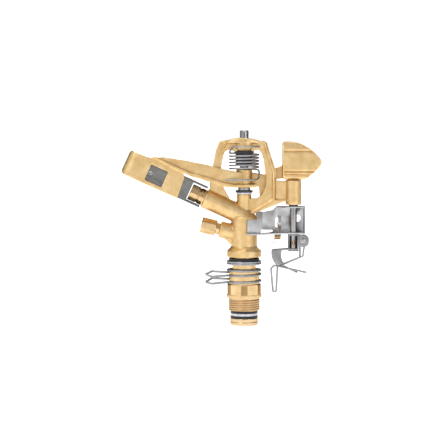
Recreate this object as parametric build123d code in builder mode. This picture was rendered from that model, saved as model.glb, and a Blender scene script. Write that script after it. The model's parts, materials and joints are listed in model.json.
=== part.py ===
from build123d import *
from math import cos, radians, sin
import os

# Part-circle impact sprinkler, cast brass, G 3/4 male inlet.
# Millimetres. +Z is the axis the head turns on, z = 0 is the wrench hexagon's
# lower shoulder at the top of the inlet thread, and -X is the way the jet leaves.

# ---------------------------------------------------------------- driving sizes
# inlet nipple
THREAD_R = 26.44 / 2            # G 3/4 major radius
THREAD_PITCH = 25.4 / 14
THREAD_DEPTH = 1.16
THREAD_L = 11.3
SHOULDER_R, SHOULDER_H = 14.7, 2.1
HEX_AF, HEX_TOP, HEX_BAR_R = 28.0, 10.9, 14.9
NECK_R, NECK_TOP = 12.7, 23.2
STOP_WIRE_R = 0.95              # stop collars and keeper ring
SLEEVE_R, SLEEVE_TOP = 9.85, 27.5
BEARING_R = 8.6

# rotating tube below the head
TUBE_R, TUBE_BORE_R = 8.53, 6.2
TUBE_BOTTOM, TUBE_TOP = -23.3, 52.0
COLLAR_R, COLLAR_TOP = 11.5, -17.8

# head casting
COLUMN_R, COLUMN_TOP = 10.9, 66.0
BELL_R, BELL_BOTTOM, BELL_TOP = 14.3, 33.8, 42.0
BELL_CAVITY_R, BELL_ROOF = 12.0, 39.7
BARREL_ROOT = 68.0              # height where the barrel's axis meets the head's axis
BARREL_RISE = 24.6              # degrees above level
BARREL_R, BARREL_BORE_R, BARREL_L = 8.2, 6.2, 36.3
SPREADER_ROOT, SPREADER_RISE = 52.1, 13.7
SPREADER_R, SPREADER_L = 6.8, 21.0
BRIDGE_HALF = 3.8               # half thickness of the bridge's top bar
BRIDGE_X = -1.2                 # the bridge stands a little off the pin's axis

# fulcrum pin, arm hub
PIN_R, PIN_TOP, PIN_BOTTOM = 3.65, 139.7, 72.0
FIT = 0.06                      # radial clearance of every shaft that turns
HUB_R, HUB_BOTTOM, HUB_TOP = 6.7, 92.4, 107.2
BUSH_R = 4.9

# trip gear
SHAFT_X, SHAFT_R = 41.3, 2.9
SHAFT_TOP, SHAFT_BOTTOM = 90.0, 38.6
TRIP_BOSS_R, TRIP_BOSS_BOTTOM, TRIP_BOSS_TOP = 6.6, 77.7, 98.0
SHEET = 1.2                     # thickness of the pressed steel parts
PLATE_Z = 53.2                  # underside of the trip bracket's lower plate
WIRE_R = 0.8                    # trip finger
RIVET = (49.1, 47.6)            # x and z of the finger's pivot

RISE_COS, RISE_SIN = cos(radians(BARREL_RISE)), sin(radians(BARREL_RISE))


def jet_point(along, above, y=0.0):
    """A place given along the barrel's axis and square to it."""
    x = -along * RISE_COS + above * RISE_SIN
    return (x, y, BARREL_ROOT + along * RISE_SIN + above * RISE_COS)


def jet_plane(along, above=0.0):
    """A plane square to the barrel's axis, facing along the jet, level side first."""
    return Plane(origin=jet_point(along, above), x_dir=(0, 1, 0), z_dir=(-RISE_COS, 0, RISE_SIN))


def upright_plate(outline, front, back, mode=Mode.ADD):
    """Add or cut a plate with the XZ outline given, from y = front to y = back."""
    with BuildSketch(Plane.XZ.offset(-back)) as shape:
        with BuildLine():
            Polyline(*outline, close=True)
        make_face()
    extrude(shape.sketch, amount=back - front, mode=mode)


def jet_plate(outline, front, back, mode=Mode.ADD):
    """The same, with the outline's points given along and above the barrel's axis."""
    points = [jet_point(*point) for point in outline]
    upright_plate([(x, z) for x, _, z in points], front, back, mode)


def turned(outline, mode=Mode.ADD):
    """Add or cut a solid of revolution about Z from (radius, height) points."""
    with BuildSketch(Plane.XZ) as shape:
        with BuildLine():
            Polyline(*outline, close=True)
        make_face()
    revolve(shape.sketch, axis=Axis.Z, mode=mode)


def washer(inner, outer, bottom, top, centre_x=0.0):
    """A flat ring about an upright axis."""
    with BuildPart() as ring:
        with BuildSketch(Plane.XY.offset(bottom)):
            with Locations((centre_x, 0)):
                Circle(outer)
                Circle(inner, mode=Mode.SUBTRACT)
        extrude(amount=top - bottom)
    return ring.part


def bent_wire(points, wire_r, bend):
    """A round wire along straight runs joined by tangent bends."""
    with BuildPart() as rod:
        with BuildLine() as path:
            FilletPolyline(*points, radius=bend)
        with BuildSketch(Plane(origin=path.line @ 0, z_dir=path.line % 0)):
            Circle(wire_r)
        sweep(path=path.line)
    return rod.part


def coil(mean_r, wire_r, pitch, bottom, turns):
    """A helical wire about Z."""
    with BuildPart() as spring:
        with BuildLine() as path:
            Helix(pitch, pitch * turns, mean_r, center=(0, 0, bottom))
        with BuildSketch(Plane(origin=path.line @ 0, z_dir=path.line % 0)):
            Circle(wire_r)
        sweep(path=path.line, is_frenet=True)
    return spring.part


def save(piece, name):
    piece.label = name
    export_step(piece, f"parts/{name}.step")


os.makedirs("parts", exist_ok=True)

# ---------------------------------------------------------------- inlet nipple
with BuildPart() as bearing_nipple:
    turned([(BEARING_R, -THREAD_L), (THREAD_R - 0.9, -THREAD_L), (THREAD_R, -THREAD_L + 0.9),
            (THREAD_R, 0), (SHOULDER_R, 0), (SHOULDER_R, SHOULDER_H), (NECK_R, SHOULDER_H),
            (NECK_R, NECK_TOP), (SLEEVE_R, NECK_TOP), (SLEEVE_R, SLEEVE_TOP),
            (BEARING_R, SLEEVE_TOP)])
    with BuildSketch(Plane.XY.offset(SHOULDER_H)) as hexagon:
        RegularPolygon(HEX_AF / 2, 6, major_radius=False, rotation=30)
        Circle(HEX_BAR_R, mode=Mode.INTERSECT)
        Circle(BEARING_R, mode=Mode.SUBTRACT)
    extrude(amount=HEX_TOP - SHOULDER_H)
    # rings stand for the thread's turns; every crest keeps a narrow land
    for turn in range(5):
        middle = -2.2 - turn * THREAD_PITCH
        turned([(THREAD_R + 0.1, middle - 0.68), (THREAD_R - THREAD_DEPTH, middle),
                (THREAD_R + 0.1, middle + 0.68)], mode=Mode.SUBTRACT)
save(bearing_nipple.part, "bearing_nipple")

# ---------------------------------------------------------------- turning tube and its seals
with BuildPart() as rotating_tube:
    turned([(TUBE_BORE_R, TUBE_BOTTOM), (COLLAR_R - 0.8, TUBE_BOTTOM), (COLLAR_R, TUBE_BOTTOM + 0.8),
            (COLLAR_R, COLLAR_TOP), (TUBE_R, COLLAR_TOP), (TUBE_R, TUBE_TOP),
            (TUBE_BORE_R, TUBE_TOP)])
save(rotating_tube.part, "rotating_tube")

seal_ring = washer(TUBE_R + 0.05, 11.5, -17.75, -15.55)
save(seal_ring, "tube_seal_lower")
slip_ring = washer(TUBE_R + 0.05, 11.5, -15.5, -13.55)
save(slip_ring, "tube_slip_washer")
bearing_seal = washer(TUBE_R + 0.05, 11.4, -13.5, -11.4)
save(bearing_seal, "tube_seal_upper")

thrust_washer = washer(TUBE_R + 0.1, 14.5, 27.6, 28.9)
save(thrust_washer, "thrust_washer_lower")
top_washer = washer(TUBE_R + 0.1, 14.5, 29.0, 30.6)
save(top_washer, "thrust_washer_upper")
dust_seal = washer(TUBE_R + 0.1, 12.8, 30.7, 32.8)
save(dust_seal, "dust_seal")

bearing_coil = coil(10.4, 0.85, 2.0, 34.2, 2.2)
save(bearing_coil, "bearing_spring")


# ---------------------------------------------------------------- adjustable arc stops
def stop_collar(low, pitch, turns, handle_tops):
    """A gripping wire ring round the nipple's neck, its two ends bent out as handles."""
    steps_per_turn, handle_x, handle_y = 24, -33.0, 4.2
    mean_r = NECK_R + STOP_WIRE_R + 0.12
    steps = int(steps_per_turn * turns)
    start_angle = 180 + (1 - turns % 1) * 180
    path = [(handle_x, -handle_y, handle_tops[0])]
    for step in range(steps + 1):
        share = step / steps
        angle = radians(start_angle + 360 * turns * share)
        path.append((mean_r * cos(angle), mean_r * sin(angle), low + pitch * turns * share))
    path.append((handle_x, handle_y, handle_tops[1]))
    return bent_wire(path, STOP_WIRE_R, 1.2)


upper_stop = stop_collar(18.2, 2.3, 0.94, (17.2, 21.4))
save(upper_stop, "stop_collar_upper")
lower_stop = stop_collar(12.6, 2.3, 0.94, (12.7, 15.2))
save(lower_stop, "stop_collar_lower")

# closed wire ring that keeps the stops on the neck
with BuildPart() as keeper_ring:
    with BuildSketch(Plane.XZ) as wire_section:
        with Locations((NECK_R + STOP_WIRE_R + 0.02, 22.7)):
            Circle(STOP_WIRE_R)
    revolve(wire_section.sketch, axis=Axis.Z)
save(keeper_ring.part, "keeper_ring")

# ---------------------------------------------------------------- head casting
# arched cap of the bridge's bar, pointed at both ends when seen from above
with BuildPart() as bridge_cap:
    with BuildSketch(Plane.XZ.offset(-9)) as arch:
        with BuildLine():
            crown_line = ThreePointArc((-19.0, 129.3), (BRIDGE_X, 133.6), (16.8, 129.3))
            Line(crown_line @ 0, crown_line @ 1)
        make_face()
    extrude(arch.sketch, amount=18)
    with BuildSketch(Plane.XY.offset(129)) as plan:
        with BuildLine():
            ThreePointArc((BRIDGE_X - 19.5, 0), (BRIDGE_X, -7.6), (BRIDGE_X + 19.5, 0))
            ThreePointArc((BRIDGE_X + 19.5, 0), (BRIDGE_X, 7.6), (BRIDGE_X - 19.5, 0))
        make_face()
    extrude(plan.sketch, amount=6, mode=Mode.INTERSECT)

RIGHT_LEG_BACK = 2.8
LEFT_LEG_FRONT = -2.8
with BuildPart() as body_casting:
    # bell over the bearing spring, column, and its sloping shoulder
    turned([(0, BELL_ROOF), (BELL_CAVITY_R, BELL_ROOF), (BELL_CAVITY_R, BELL_BOTTOM),
            (BELL_R, BELL_BOTTOM), (BELL_R, BELL_TOP - 3.0), (COLUMN_R, BELL_TOP + 0.4),
            (COLUMN_R, COLUMN_TOP + 1.0), (6.6, COLUMN_TOP + 6.5), (0, COLUMN_TOP + 6.5)])
    # barrel and side boss
    with BuildSketch(jet_plane(0)):
        Circle(BARREL_R)
    extrude(amount=BARREL_L)
    spreader_dir = (-cos(radians(SPREADER_RISE)), 0, sin(radians(SPREADER_RISE)))
    with BuildSketch(Plane(origin=(0, 0, SPREADER_ROOT), z_dir=spreader_dir)):
        Circle(SPREADER_R)
    extrude(amount=SPREADER_L)
    # gusset under the side boss
    upright_plate([(-9, 56), (-18.5, 50.5), (-15.5, 48.2), (-12, 44.6), (-9, 43)], -3.2, 3.2)
    # post that carries the lower end of the fulcrum pin
    with Locations((0, 0, COLUMN_TOP)):
        Cylinder(6.1, 86.5 - COLUMN_TOP, align=(Align.CENTER, Align.CENTER, Align.MIN))
    # bridge: top bar, left leg down to the barrel, right leg down to the column
    upright_plate([(-13, 130.8), (0, 132.0), (11.6, 130.8), (14.5, 124.5), (7.5, 122.6),
                   (-9, 122.6), (-16.8, 124.5)], -BRIDGE_HALF, BRIDGE_HALF)
    upright_plate([(-18.6, 131.0), (-20.6, 130.2), (-23.6, 123.5), (-26.1, 110.9), (-27.6, 104),
                   (-28.8, 93.5), (-28.6, 86), (-19, 78), (-12.5, 83.5), (-17.2, 91.5),
                   (-19.3, 101), (-19, 111), (-18.1, 115.5), (-16.5, 121.5), (-13, 124.4),
                   (-8, 125), (-8, 132.0)], LEFT_LEG_FRONT, 4.8)
    upright_plate([(8, 131.6), (16.4, 131.0), (18.9, 129.8), (20.9, 123.5), (25.1, 110.9),
                   (26.6, 105.8), (27.0, 98), (37.5, 96.8), (37.5, 82.0), (34.6, 80.9), (5.4, 69.2), (-4, 68),
                   (2, 82.6), (10.6, 82.9), (13.7, 84.9), (16, 88.2), (18, 94.8), (18.4, 101.5),
                   (17.4, 107), (16.4, 115), (14.2, 121.5), (11.5, 124.2), (8, 125)],
                  -4.2, RIGHT_LEG_BACK)
    # the web outside the right leg stands back from the leg's front
    upright_plate([(26.0, 100), (40, 100), (40, 81.6), (26.0, 81.6)], -5, -2.4, mode=Mode.SUBTRACT)
    # raised rim down the right leg and along its brace
    upright_plate([(23.8, 105), (25.4, 105), (25.6, 82.0), (5.2, 69.4), (4.3, 71.0), (24.0, 83.2)],
                  -5.2, -4.0)
    upright_plate([(16.2, 129.4), (17.8, 129.4), (25.4, 104.9), (23.8, 104.9)], -5.2, -3.4)
    # cap, the boss round the pin, and the spring's seat under it
    add(bridge_cap.part)
    turned([(0, 122.4), (6.6, 122.4), (8.0, 125.4), (8.0, 131), (0, 131)])
    # boss for the trip shaft
    with Locations((SHAFT_X, 0, TRIP_BOSS_BOTTOM)):
        Cylinder(TRIP_BOSS_R, TRIP_BOSS_TOP - TRIP_BOSS_BOTTOM,
                 align=(Align.CENTER, Align.CENTER, Align.MIN))
    # waterways, tube socket and pin holes
    with Locations((0, 0, BELL_ROOF - 1)):
        Cylinder(TUBE_R + 0.02, TUBE_TOP + 0.1 - BELL_ROOF + 1, mode=Mode.SUBTRACT,
                 align=(Align.CENTER, Align.CENTER, Align.MIN))
    with Locations((0, 0, TUBE_TOP)):
        Cylinder(TUBE_BORE_R, BARREL_ROOT - TUBE_TOP, mode=Mode.SUBTRACT,
                 align=(Align.CENTER, Align.CENTER, Align.MIN))
    with BuildSketch(jet_plane(0)) as bore:
        Circle(BARREL_BORE_R)
    extrude(bore.sketch, amount=BARREL_L + 1, mode=Mode.SUBTRACT)
    with BuildSketch(Plane(origin=(0, 0, SPREADER_ROOT), z_dir=spreader_dir)) as side_bore:
        Circle(3.6)
    extrude(side_bore.sketch, amount=SPREADER_L + 1, mode=Mode.SUBTRACT)
    with Locations((0, 0, PIN_BOTTOM)):
        Cylinder(PIN_R + 0.01, 70, mode=Mode.SUBTRACT, align=(Align.CENTER, Align.CENTER, Align.MIN))
    with Locations((SHAFT_X, 0, TRIP_BOSS_BOTTOM - 1)):
        Cylinder(SHAFT_R + 0.01, SHAFT_TOP + 0.2 - TRIP_BOSS_BOTTOM + 1, mode=Mode.SUBTRACT,
                 align=(Align.CENTER, Align.CENTER, Align.MIN))
save(body_casting.part, "body_casting")

# ---------------------------------------------------------------- nozzles
with BuildPart() as main_nozzle:
    with BuildSketch(jet_plane(28)):
        Circle(BARREL_BORE_R - 0.02)
    extrude(amount=BARREL_L - 28)
    with BuildSketch(jet_plane(BARREL_L + 0.05)):
        Circle(6.9)
    extrude(amount=5.2)
    with BuildSketch(jet_plane(BARREL_L)):
        Circle(6.2)
    extrude(amount=8)
    with BuildSketch(jet_plane(42.6)):
        RegularPolygon(6.7, 6, major_radius=False)
    extrude(amount=7)
    with BuildSketch(jet_plane(27)) as inlet:
        Circle(4.6)
    with BuildSketch(jet_plane(50.2)) as orifice:
        Circle(2.4)
    loft(Sketch() + [inlet.sketch.face(), orifice.sketch.face()], mode=Mode.SUBTRACT)
save(main_nozzle.part, "main_nozzle")

with BuildPart() as stream_straightener:
    with BuildSketch(jet_plane(12)):
        with PolarLocations(0, 3):
            Rectangle(2 * BARREL_BORE_R - 0.1, 0.7)
    extrude(amount=15)
save(stream_straightener.part, "stream_straightener")

side_face = Vector(0, 0, SPREADER_ROOT) + Vector(*spreader_dir) * SPREADER_L
with BuildPart() as spreader_nozzle:
    with BuildSketch(Plane(origin=side_face - Vector(*spreader_dir) * 7, z_dir=spreader_dir)):
        Circle(3.58)
    extrude(amount=8)
    with BuildSketch(Plane(origin=side_face + Vector(*spreader_dir) * 0.05, z_dir=spreader_dir)):
        Circle(4.7)
    extrude(amount=4)
    with BuildSketch(Plane(origin=side_face + Vector(*spreader_dir) * 3.2, z_dir=spreader_dir)):
        RegularPolygon(5.9, 6, major_radius=False)
    extrude(amount=12.8)
    with BuildSketch(Plane(origin=side_face - Vector(*spreader_dir) * 8, z_dir=spreader_dir)) as side_way:
        Circle(1.5)
    extrude(side_way.sketch, amount=30, mode=Mode.SUBTRACT)
    side_tip = side_face + Vector(*spreader_dir) * 16.1
    with BuildSketch(Plane(origin=side_tip, z_dir=spreader_dir)) as slot:
        Rectangle(20, 1.6)
    extrude(slot.sketch, amount=-3.0, mode=Mode.SUBTRACT)
save(spreader_nozzle.part, "spreader_nozzle")

# ---------------------------------------------------------------- fulcrum pin and what sits on it
with BuildPart() as fulcrum_pin:
    with Locations((0, 0, PIN_BOTTOM + 0.1)):
        Cylinder(PIN_R, PIN_TOP - PIN_BOTTOM - 0.1, align=(Align.CENTER, Align.CENTER, Align.MIN))
    chamfer(fulcrum_pin.edges().filter_by(GeomType.CIRCLE).sort_by(Axis.Z)[-1], 0.5)
save(fulcrum_pin.part, "fulcrum_pin")

with BuildPart() as spring_sleeve:
    turned([(PIN_R + 0.02, 110.2), (7.3, 110.2), (7.3, 121.0), (8.4, 121.0), (8.4, 122.3),
            (PIN_R + 0.02, 122.3)])
save(spring_sleeve.part, "spring_sleeve")

slip_washer = washer(PIN_R + 0.02, 6.6, 86.6, 88.0)
save(slip_washer, "arm_slip_washer")
friction_washer = washer(PIN_R + 0.02, 7.3, 88.1, 89.7)
save(friction_washer, "arm_friction_washer")
lift_collar = washer(PIN_R + 0.02, 5.2, 89.8, 92.1)
save(lift_collar, "arm_lift_collar")

# ---------------------------------------------------------------- arm with spoon and counterweight
SPOON_FRONT, SPOON_BACK = -9.8, -8.0
LIP_START, LIP_R = 101.5, 7.0
with BuildPart() as arm_casting:
    with Locations((0, 0, HUB_BOTTOM)):
        Cylinder(HUB_R, HUB_TOP - HUB_BOTTOM, align=(Align.CENTER, Align.CENTER, Align.MIN))
        Cylinder(9.6, 2.6, align=(Align.CENTER, Align.CENTER, Align.MIN))
    # shank in front of the left leg, with a ledge along its lower edge
    upright_plate([(-2, 105.0), (-7, 105.4), (-19, 107.9), (-31, 111.1), (-50, 114.9), (-68, 117.7),
                   (-76, 116.9), (-44, 102.0), (-38, 100.2), (-16, 93.4), (-2, 93.0)], -7.2, -3.6)
    upright_plate([(-77, 118.0), (-74, 117.9), (-44.5, 104.4), (-38.5, 103.0), (-16, 96.1),
                   (-8, 94.9), (9.5, 94.9), (11, 93.8), (9.5, 92.4), (-10, 92.4), (-16.6, 93.0),
                   (-38.5, 100.1), (-44, 101.4), (-58, 107.6)], -10.4, -3.6)
    # spoon plate, and its lip curled back across the jet
    jet_plate([(57.3, -9.2), (59.0, 9.2), (62, 12.6), (88.5, 12.9), (94.6, 11.6), (103, 11.4),
               (103, -9.6), (80, -9.6)], SPOON_FRONT, SPOON_BACK)
    spoon_plane = Plane(origin=jet_point(0, -9.6), x_dir=(-RISE_COS, 0, RISE_SIN),
                        z_dir=(RISE_SIN, 0, RISE_COS))
    with BuildSketch(spoon_plane) as lip:
        with BuildLine():
            outer_arc = CenterArc((LIP_START, -SPOON_FRONT - LIP_R), LIP_R, -5, 95)
            inner_arc = CenterArc((LIP_START, -SPOON_FRONT - LIP_R), LIP_R - 1.9, -5, 95)
            Line(outer_arc @ 1, inner_arc @ 1)
            tail = Line(outer_arc @ 0, (outer_arc @ 0) + Vector(-0.6, -6.4))
            tip = Line(tail @ 1, (tail @ 1) + Vector(-1.9, 0.1))
            Line(tip @ 1, inner_arc @ 0)
        make_face()
    extrude(lip.sketch, amount=21)
    # window that shows the steel channel
    jet_plate([(73.2, -6.4), (73.2, 7.6), (88.6, 7.6), (88.6, -5.6), (87.0, -6.4)],
              SPOON_FRONT - 1, SPOON_BACK + 1, mode=Mode.SUBTRACT)
    # tail behind the right leg, with the striker that the trip bracket catches
    upright_plate([(-2, 104.6), (6, 104.4), (17.4, 102.6), (26, 107.8), (33, 110.5), (36, 103),
                   (33.5, 99.6), (26, 98.8), (19, 95.4), (17.8, 83.6), (13.2, 83.6), (12.4, 92.4),
                   (-2, 94.0)], 3.4, 8.4)
    # counterweight: a D with sloping upper and lower thirds
    with BuildSketch(Plane.XZ.offset(-9)) as weight:
        with BuildLine():
            left = Line((32.1, 99.4), (32.1, 127.6))
            corner = ThreePointArc(left @ 1, (33.0, 129.7), (35.2, 130.5))
            crown = ThreePointArc(corner @ 1, (52.6, 126.2), (62.2, 117.6))
            tip_arc = ThreePointArc(crown @ 1, (64.6, 113.4), (62.6, 109.2))
            belly = ThreePointArc(tip_arc @ 1, (57.2, 103.6), (46.8, 99.4))
            Line(belly @ 1, left @ 0)
        make_face()
    extrude(weight.sketch, amount=15)
    for front_y, slope_y in ((-6.0, -2.4), (9.0, 5.4)):
        for level, edge in ((124.2, 131.2), (104.6, 98.8)):
            with BuildSketch(Plane.YZ.offset(31)) as slope:
                with BuildLine():
                    outside = front_y + (front_y - slope_y) * 0.3
                    Polyline((front_y, level), (slope_y, edge), (outside, edge), (outside, level),
                             close=True)
                make_face()
            extrude(slope.sketch, amount=36, mode=Mode.SUBTRACT)
    # bore for the two bushes
    with Locations((0, 0, HUB_BOTTOM - 1)):
        Cylinder(BUSH_R + 0.01, 18, mode=Mode.SUBTRACT, align=(Align.CENTER, Align.CENTER, Align.MIN))
save(arm_casting.part, "arm_casting")

arm_bushes = [("arm_bush_lower", HUB_BOTTOM, HUB_BOTTOM + 6.5), ("arm_bush_upper", HUB_TOP - 6.5, HUB_TOP)]
for bush_name, bush_bottom, bush_top in arm_bushes:
    bush = washer(PIN_R + FIT, BUSH_R, bush_bottom, bush_top)
    save(bush, bush_name)

# steel channel riveted inside the spoon, open away from the spoon plate
CHANNEL_T = 1.3
RIVET_SHANK_R, RIVET_BORE_R = 1.5, 1.05
with BuildPart() as jet_channel:
    jet_plate([(50.3, -8.9), (50.3, 9.6), (90.6, 9.6), (90.6, -8.9)], -7.95, -7.95 + CHANNEL_T)
    jet_plate([(37.6, 8.3), (37.6, 9.6), (90.6, 9.6), (90.6, 8.3)], -7.95, 6.0)
    jet_plate([(37.6, -8.9), (37.6, -7.6), (90.6, -7.6), (90.6, -8.9)], -7.95, 6.0)
    with BuildSketch(Plane.XZ.offset(9)) as rivet_hole:
        with Locations((jet_point(86.4, 0.8)[0], jet_point(86.4, 0.8)[2])):
            Circle(RIVET_SHANK_R + 0.01)
    extrude(rivet_hole.sketch, amount=-4, mode=Mode.SUBTRACT)
save(jet_channel.part, "jet_channel")

rivet_x, _, rivet_z = jet_point(86.4, 0.8)
with BuildPart() as channel_rivet:
    for front, rivet_r, length in ((8.5, 2.0, 0.53), (8.5, RIVET_SHANK_R, 2.6), (6.6, 2.2, 0.9)):
        with BuildSketch(Plane.XZ.offset(front)) as round_face:
            with Locations((rivet_x, rivet_z)):
                Circle(rivet_r)
        extrude(round_face.sketch, amount=-length)
    with BuildSketch(Plane.XZ.offset(8.5)) as blind_bore:
        with Locations((rivet_x, rivet_z)):
            Circle(RIVET_BORE_R)
    extrude(blind_bore.sketch, amount=-2.2, mode=Mode.SUBTRACT)
save(channel_rivet.part, "channel_rivet")

# arm spring: close coil, a loop in front of the bridge bar and one in front of the hub
SPRING_R, SPRING_WIRE_R = 12.3, 0.6
COIL_BOTTOM, COIL_PITCH, COIL_TURNS = 106.5, 2.6, 5.5
COIL_TOP = COIL_BOTTOM + COIL_PITCH * COIL_TURNS
LOOP_R, HIGH_LOOP_Z, LOW_LOOP_Z = 13.2, 126.4, 98.8


def spring_place(radius, angle, height):
    return (radius * cos(radians(angle)), radius * sin(radians(angle)), height)


high_loop_path = [spring_place(SPRING_R, 178, COIL_TOP), spring_place(LOOP_R, 203, COIL_TOP + 1.8),
                  spring_place(LOOP_R, 222, HIGH_LOOP_Z - 0.2)]
high_loop_path += [spring_place(LOOP_R, angle, HIGH_LOOP_Z) for angle in (246, 270, 294, 318, 334)]
low_loop_path = [spring_place(SPRING_R, 2, COIL_BOTTOM), spring_place(LOOP_R, 345, COIL_BOTTOM - 3.5),
                 spring_place(LOOP_R, 333, LOW_LOOP_Z + 0.4)]
low_loop_path += [spring_place(LOOP_R, angle, LOW_LOOP_Z) for angle in (312, 288, 264, 240, 224)]
low_loop_path += [(-15.0, -8.6, LOW_LOOP_Z - 0.2)]
main_coil = coil(SPRING_R, SPRING_WIRE_R, COIL_PITCH, COIL_BOTTOM, COIL_TURNS)
high_loop = bent_wire(high_loop_path, SPRING_WIRE_R, 2)
low_loop = bent_wire(low_loop_path, SPRING_WIRE_R, 2)
with BuildPart() as arm_spring:
    add(main_coil)
    add(high_loop)
    add(low_loop)
save(arm_spring.part, "arm_spring")

# ---------------------------------------------------------------- trip shaft
with BuildPart() as trip_shaft:
    with Locations((SHAFT_X, 0, SHAFT_BOTTOM)):
        Cylinder(SHAFT_R, SHAFT_TOP - SHAFT_BOTTOM, align=(Align.CENTER, Align.CENTER, Align.MIN))
    chamfer(trip_shaft.edges().filter_by(GeomType.CIRCLE).sort_by(Axis.Z)[0], 0.4)
save(trip_shaft.part, "trip_shaft")

shaft_washer = washer(SHAFT_R + 0.02, 3.9, 76.4, 77.6, SHAFT_X)
save(shaft_washer, "shaft_washer")
shaft_clip = washer(SHAFT_R + 0.02, 4.6, 38.7, 39.5, SHAFT_X)
save(shaft_clip, "shaft_clip")

# ---------------------------------------------------------------- trip bracket, pressed from sheet
WALL_FRONT, WALL_BACK = 5.4, 6.6
BRACKET_TOP = 76.2
TONGUE_R, TONGUE_BOTTOM, TONGUE_TOP = 16.2, 56.0, 71.2
with BuildPart() as trip_bracket:
    with BuildSketch(Plane.XY.offset(PLATE_Z)):
        with BuildLine():
            Polyline((2.3, -17.2), (14.5, -17.2), (24, -11.5), (34, -7.0), (51.2, -7.0),
                     (51.2, WALL_BACK), (22.5, WALL_BACK), (22.5, 0), (15.4, -6.5), (14.0, -11.8),
                     (2.3, -11.8), close=True)
        make_face()
    extrude(amount=SHEET)
    # paddle standing in front of the column
    with BuildSketch(Plane.XZ.offset(11.8)) as paddle:
        with Locations((8.2, 59.8)):
            RectangleRounded(11.4, 11.8, 1.6)
    extrude(paddle.sketch, amount=SHEET)
    # back wall with its tongue, and the upper plate
    upright_plate([(24, PLATE_Z), (51.2, PLATE_Z), (51.2, BRACKET_TOP), (27.6, BRACKET_TOP), (24, 72.6)],
                  WALL_FRONT, WALL_BACK)
    with BuildSketch(Plane.XY.offset(TONGUE_BOTTOM)) as tongue:
        with BuildLine():
            far_arc = CenterArc((0, 0), TONGUE_R + SHEET, 18.5, 34)
            near_arc = CenterArc((0, 0), TONGUE_R, 18.5, 34)
            Line(far_arc @ 0, near_arc @ 0)
            Line(far_arc @ 1, near_arc @ 1)
        make_face()
    extrude(tongue.sketch, amount=TONGUE_TOP - TONGUE_BOTTOM)
    upright_plate([(16.0, TONGUE_BOTTOM), (25, TONGUE_BOTTOM), (25, 72.8), (16.0, TONGUE_TOP)],
                  WALL_FRONT, WALL_BACK)
    with BuildSketch(Plane.XY.offset(BRACKET_TOP - SHEET)) as top_plate:
        with BuildLine():
            Polyline((27.6, WALL_BACK), (34.5, -4.8), (51.2, -4.8), (51.2, WALL_BACK), close=True)
        make_face()
    extrude(top_plate.sketch, amount=SHEET)
    # right end turned forward
    upright_plate([(50.0, PLATE_Z), (51.2, PLATE_Z), (51.2, BRACKET_TOP), (50.0, BRACKET_TOP)],
                  -4.8, WALL_BACK)
    # shaft holes, round window, spring slot and the bowed strap that holds the spring
    with Locations((SHAFT_X, 0, PLATE_Z - 1)):
        Cylinder(SHAFT_R + FIT, 26, mode=Mode.SUBTRACT, align=(Align.CENTER, Align.CENTER, Align.MIN))
    with BuildSketch(Plane.XZ.offset(-WALL_BACK - 1)) as window:
        with Locations((44.6, 65.8)):
            Circle(3.1)
        with Locations((27.6, 62.2)):
            SlotCenterToCenter(6.0, 2.4, rotation=90)
    extrude(window.sketch, amount=3, mode=Mode.SUBTRACT)
    with Locations((29.0, 2.4, PLATE_Z)):
        Cylinder(1.7, 6, mode=Mode.SUBTRACT)
    with BuildSketch(Plane.YZ.offset(28.6)) as strap:
        with BuildLine():
            bow = ThreePointArc((WALL_FRONT, 56.4), (3.0, 62.2), (WALL_FRONT, 68.0))
            inner_bow = ThreePointArc((WALL_BACK, 56.4), (4.1, 62.2), (WALL_BACK, 68.0))
            Line(bow @ 0, inner_bow @ 0)
            Line(bow @ 1, inner_bow @ 1)
        make_face()
    extrude(strap.sketch, amount=2.4)
save(trip_bracket.part, "trip_bracket")

# brass over-centre spring: short coil across the bracket, one leg up to the strap
BRASS_WIRE_R, BRASS_COIL_R = 0.4, 1.75
over_centre_coil = coil(BRASS_COIL_R, BRASS_WIRE_R, 1.5, 0, 3.5).rotate(Axis.Y, 90)
over_centre_links = [
    ((25.4, 0, 48.65), (24.6, 0, 45.2)),
    ((30.65, 0, 52.15), (29.2, 2.4, 53.6)),
    ((29.2, 2.4, 53.6), (28.0, 2.6, 62.0)),
    ((28.0, 2.6, 62.0), (27.4, 5.2, 62.6)),
]
with BuildPart() as over_centre_spring:
    add(over_centre_coil.translate((25.4, 0, 50.4)))
    for link_start, link_end in over_centre_links:
        run = Vector(*link_end) - Vector(*link_start)
        with Locations(link_start):
            Sphere(BRASS_WIRE_R * 1.2)
        with BuildSketch(Plane(origin=link_start, z_dir=run.normalized())) as leg:
            Circle(BRASS_WIRE_R)
        extrude(leg.sketch, amount=run.length)
save(over_centre_spring.part, "over_centre_spring")

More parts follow.
